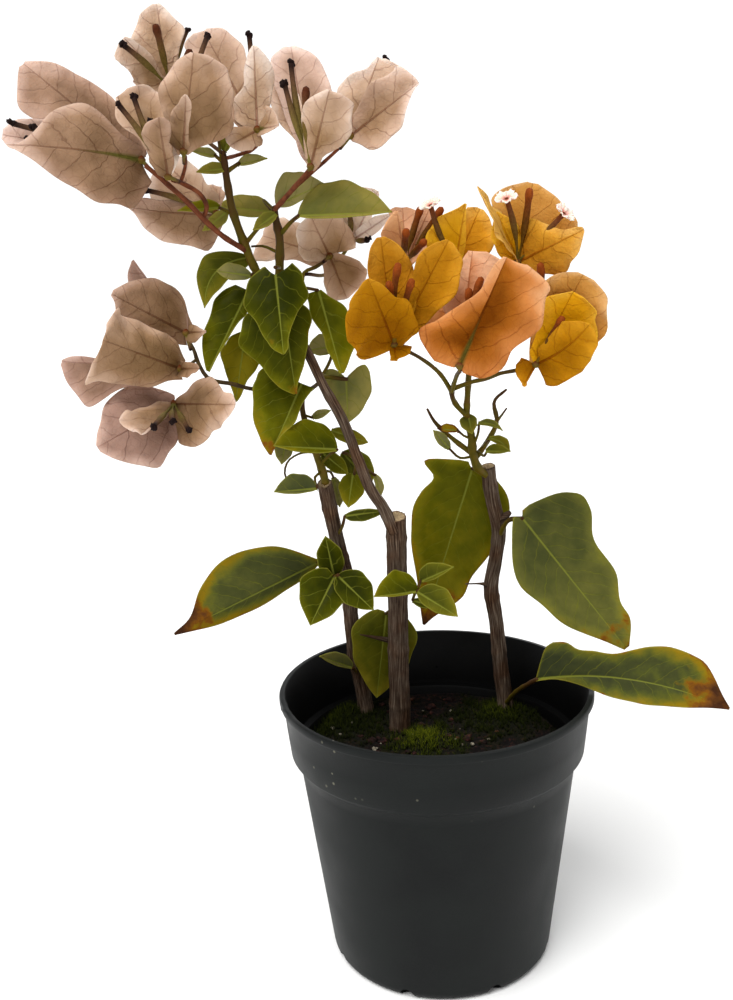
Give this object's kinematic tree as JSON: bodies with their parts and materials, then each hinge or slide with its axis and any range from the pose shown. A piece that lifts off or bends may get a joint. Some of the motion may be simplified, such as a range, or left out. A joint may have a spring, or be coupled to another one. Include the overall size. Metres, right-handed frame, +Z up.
{
  "type": "potted bougainvillea",
  "caption": "Small potted bougainvillea: cut-back woody canes with leafy side shoots and sprays of cream and orange papery bracts, standing in soil in a black nursery pot.",
  "frame": {"origin": "centre of the underside of the pot, on the floor", "axes": "+Z up along the pot's axis; -Y towards the side the plant is shown from; +X to the right as seen from there"},
  "size_m": [0.26, 0.13, 0.3806],
  "materials": {
    "pot_plastic": "satin",
    "soil": "matte",
    "bark": "matte",
    "leaf": "satin",
    "stalk_red": "matte",
    "stalk_dark": "matte",
    "bract_white": "matte",
    "bract_orange": "matte",
    "bract_peach": "matte"
  },
  "bodies": {
    "root": {"bloom_hanging_low": "bract_white", "bloom_hanging_middle": "bract_white", "bloom_hanging_top": "bract_white", "bloom_orange_centre": "bract_peach", "bloom_orange_left": "bract_orange", "bloom_orange_middle_top": "bract_orange", "bloom_orange_right": "bract_orange", "bloom_orange_top": "bract_orange", "bloom_peach_top_left": "bract_peach", "bloom_white_back": "bract_white", "bloom_white_behind_leaf": "bract_white", "bloom_white_centre": "bract_white", "bloom_white_far_left": "bract_white", "bloom_white_far_right": "bract_white", "bloom_white_left": "bract_white", "bloom_white_low_left": "bract_white", "bloom_white_right": "bract_white", "bloom_white_top": "bract_white", "bloom_white_upper": "bract_white", "cane_left": "bark", "cane_middle": "bark", "cane_right": "bark", "leaf_behind_right": "leaf", "leaf_by_cane_left": "leaf", "leaf_heart_middle": "leaf", "leaf_low_cane_left": "leaf", "leaf_low_right": "leaf", "leaf_lower_left": "leaf", "leaf_right": "leaf", "leaves_branch_lower": "leaf", "leaves_branch_upper": "leaf", "leaves_cane_left": "leaf", "leaves_cane_middle": "leaf", "pot": "pot_plastic", "shoot_left_top": "leaf", "shoot_right_top": "leaf", "shoot_top": "leaf", "soil": "soil", "stalk_hanging": "stalk_dark", "stalk_upper_centre": "stalk_red", "stalk_upper_right": "stalk_red", "stalks_upper_left": "stalk_red"}
  },
  "joints": []
}
